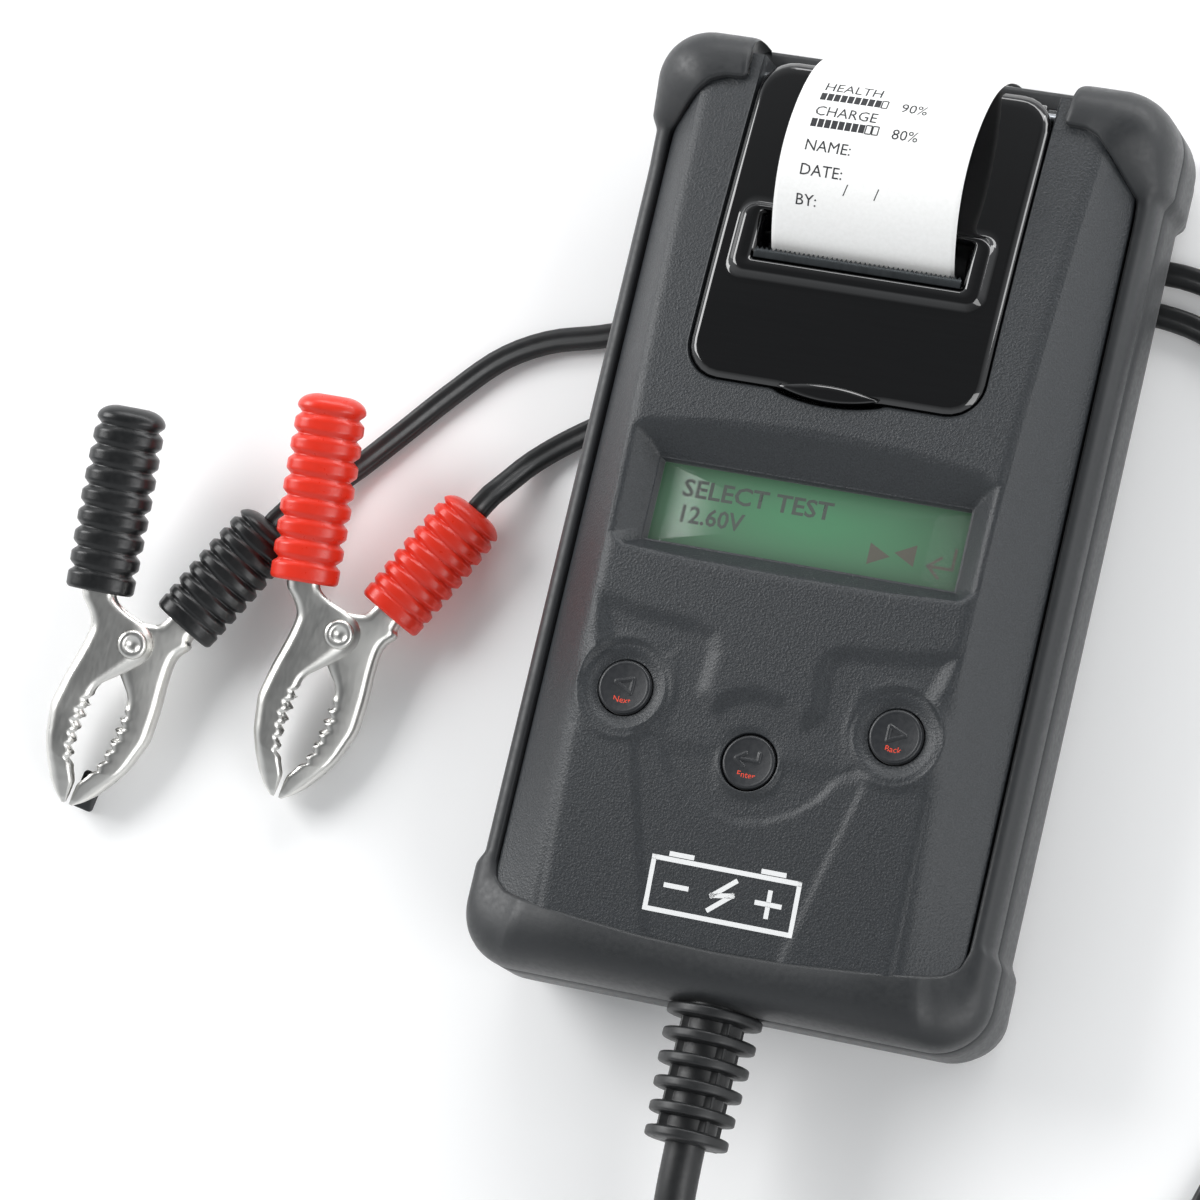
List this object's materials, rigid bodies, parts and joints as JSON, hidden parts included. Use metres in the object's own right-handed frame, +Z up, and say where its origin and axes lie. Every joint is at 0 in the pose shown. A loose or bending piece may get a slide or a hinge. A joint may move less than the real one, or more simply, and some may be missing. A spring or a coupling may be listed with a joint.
{
  "type": "battery tester",
  "caption": "Handheld battery tester with display, three keys, receipt printer under a hinged lid, and a coiled cable to two spring clamps.",
  "frame": {"origin": "on the table under the middle of the case, which lies on its back; the cable and clamps are left out of the middle", "axes": "+Z up out of the front panel, +Y towards the printer end, +X to the right as the display is read"},
  "size_m": [0.2751, 0.351, 0.0512],
  "materials": {
    "hard_abs": "spark-textured ABS",
    "case_abs": "fine-textured ABS",
    "rubber": "satin overmoulded rubber",
    "smoked_lid": "polished smoked polycarbonate",
    "key_rubber": "satin silicone",
    "cable_pvc": "satin PVC",
    "red_pvc": "dipped soft PVC, satin gloss",
    "black_pvc": "dipped soft PVC, satin gloss",
    "nickel": "nickel-plated pressed steel",
    "steel": "drawn steel",
    "green_lcd": "backlit LCD cell",
    "lens": "clear acrylic lens",
    "board": "solder-masked glass epoxy",
    "grey_abs": "moulded ABS",
    "silicone": "moulded silicone",
    "white_pom": "moulded acetal",
    "brass": "turned brass",
    "paper": "smooth thermal paper",
    "alumina": "glazed alumina strip",
    "aluminium": "extruded aluminium",
    "cell_sleeve": "printed sleeve",
    "wire_pvc": "wire insulation",
    "black_foam": "moulded rubber pad"
  },
  "bodies": {
    "tester": {"rear_case": "case_abs", "front_case": "hard_abs", "rear_boot": "rubber", "front_boot": "rubber", "battery_door": "case_abs", "case_screws": "steel", "lcd_window": "lens", "lcd_glass": "green_lcd", "lcd_bezel": "grey_abs", "lcd_board": "board", "keypad_mat": "silicone", "main_board": "board", "load_resistor": "aluminium", "lead_connector": "board", "inner_leads": "wire_pvc", "batteries": "cell_sleeve", "battery_contacts": "steel", "printer_chassis": "grey_abs", "print_head": "alumina", "head_spring": "steel", "motor": "aluminium", "paper_web": "paper", "lid_hinge_pin": "steel", "strain_relief": "cable_pvc", "main_cable": "cable_pvc", "cable_coil": "cable_pvc", "y_splitter": "cable_pvc", "lead_black": "cable_pvc", "lead_red": "cable_pvc", "black_jaw_short": "nickel", "black_grip_short": "black_pvc", "black_spring": "steel", "black_rivet": "nickel", "black_teeth_short": "nickel", "black_pad": "black_foam", "red_jaw_short": "nickel", "red_grip_short": "red_pvc", "red_spring": "steel", "red_rivet": "nickel", "red_teeth_short": "nickel"},
    "lid": {"printer_lid": "smoked_lid", "tear_bar": "steel", "paper_strip": "paper"},
    "platen": {"platen_roller": "silicone", "platen_gear": "white_pom"},
    "idler": {"idler_gear": "white_pom"},
    "pinion": {"motor_pinion": "brass"},
    "roll": {"paper_roll": "paper"},
    "left_key": {"key_left": "key_rubber"},
    "right_key": {"key_right": "key_rubber"},
    "enter_key": {"key_enter": "key_rubber"},
    "black_long_half": {"black_jaw_long": "nickel", "black_grip_long": "black_pvc", "black_teeth_long": "nickel"},
    "red_long_half": {"red_jaw_long": "nickel", "red_grip_long": "red_pvc", "red_teeth_long": "nickel"}
  },
  "joints": [
    {"name": "lid_hinge", "type": "hinge", "parent": "tester", "child": "lid", "pos_m": [0, 0.088, 0.036], "axis": [-1, 0, 0], "range_deg": [0, 90], "deforming": ["paper_strip"]},
    {"name": "platen_turn", "type": "hinge", "parent": "lid", "child": "platen", "pos_m": [0, 0.056, 0.034], "axis": [1, 0, 0], "continuous": true},
    {"name": "idler_turn", "type": "hinge", "parent": "tester", "child": "idler", "pos_m": [0, 0.04788, 0.02241], "axis": [1, 0, 0], "continuous": true},
    {"name": "motor_turn", "type": "hinge", "parent": "tester", "child": "pinion", "pos_m": [0, 0.05746, 0.01493], "axis": [1, 0, 0], "continuous": true},
    {"name": "roll_turn", "type": "hinge", "parent": "tester", "child": "roll", "pos_m": [0, 0.0759, 0.0215], "axis": [1, 0, 0], "continuous": true},
    {"name": "left_press", "type": "slide", "parent": "tester", "child": "left_key", "axis": [0, 0, -1], "range_m": [0, 0.0008], "stiffness_N_per_m": 900, "springref_m": -0.0004},
    {"name": "right_press", "type": "slide", "parent": "tester", "child": "right_key", "axis": [0, 0, -1], "range_m": [0, 0.0008], "stiffness_N_per_m": 900, "springref_m": -0.0004},
    {"name": "enter_press", "type": "slide", "parent": "tester", "child": "enter_key", "axis": [0, 0, -1], "range_m": [0, 0.0008], "stiffness_N_per_m": 900, "springref_m": -0.0004},
    {"name": "black_clamp_open", "type": "hinge", "parent": "tester", "child": "black_long_half", "pos_m": [-0.145, -0.0445, 0.0111], "axis": [-0.3413, 0.1914, -0.9203], "range_deg": [0, 22], "stiffness_Nm_per_rad": 0.6, "springref_deg": -20.05},
    {"name": "red_clamp_open", "type": "hinge", "parent": "tester", "child": "red_long_half", "pos_m": [-0.1015, -0.0345, 0.01], "axis": [-0.3462, 0.1824, -0.9203], "range_deg": [0, 22], "stiffness_Nm_per_rad": 0.6, "springref_deg": -20.05}
  ],
  "couplings": [
    {"joint": "platen_turn", "follows": "roll_turn", "ratio": 2.6667},
    {"joint": "idler_turn", "follows": "roll_turn", "ratio": -2},
    {"joint": "motor_turn", "follows": "roll_turn", "ratio": 4}
  ]
}
